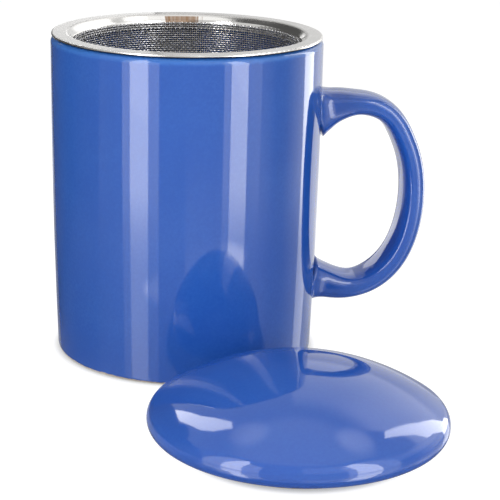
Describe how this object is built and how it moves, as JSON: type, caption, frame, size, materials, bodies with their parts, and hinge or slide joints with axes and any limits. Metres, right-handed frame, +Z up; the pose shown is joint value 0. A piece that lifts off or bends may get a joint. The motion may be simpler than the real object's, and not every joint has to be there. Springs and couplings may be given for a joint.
{
  "type": "tea mug",
  "caption": "Straight-sided glazed mug with a strap handle, a lift-out wire-mesh infuser basket hung by its flange, and a loose domed lid.",
  "frame": {"origin": "centre of the mug's foot, on the table it stands on", "axes": "+Z up along the mug's axis, +X from the mug's axis towards its handle; the lid lies in front of the mug, towards -Y"},
  "size_m": [0.1224, 0.1749, 0.104],
  "materials": {
    "blue_glaze": "glossy cobalt-blue glaze over stoneware, bare on the foot ring",
    "flange_steel": "satin flange with a polished collar",
    "steel_cloth": "bright woven stainless wire"
  },
  "bodies": {
    "mug": {"mug_body": "blue_glaze", "mug_handle": "blue_glaze"},
    "infuser": {"infuser_rim": "flange_steel", "rim_band": "flange_steel", "mesh_wall": "steel_cloth", "mesh_floor": "steel_cloth", "base_hoop": "flange_steel"},
    "lid": {"lid": "blue_glaze"}
  },
  "joints": [
    {"name": "infuser_lift", "type": "slide", "parent": "mug", "child": "infuser", "axis": [0, 0, 1], "range_m": [0, 0.09]},
    {"name": "lid_lift", "type": "slide", "parent": "mug", "child": "lid", "axis": [0, 0, 1], "range_m": [0, 0.12]}
  ]
}
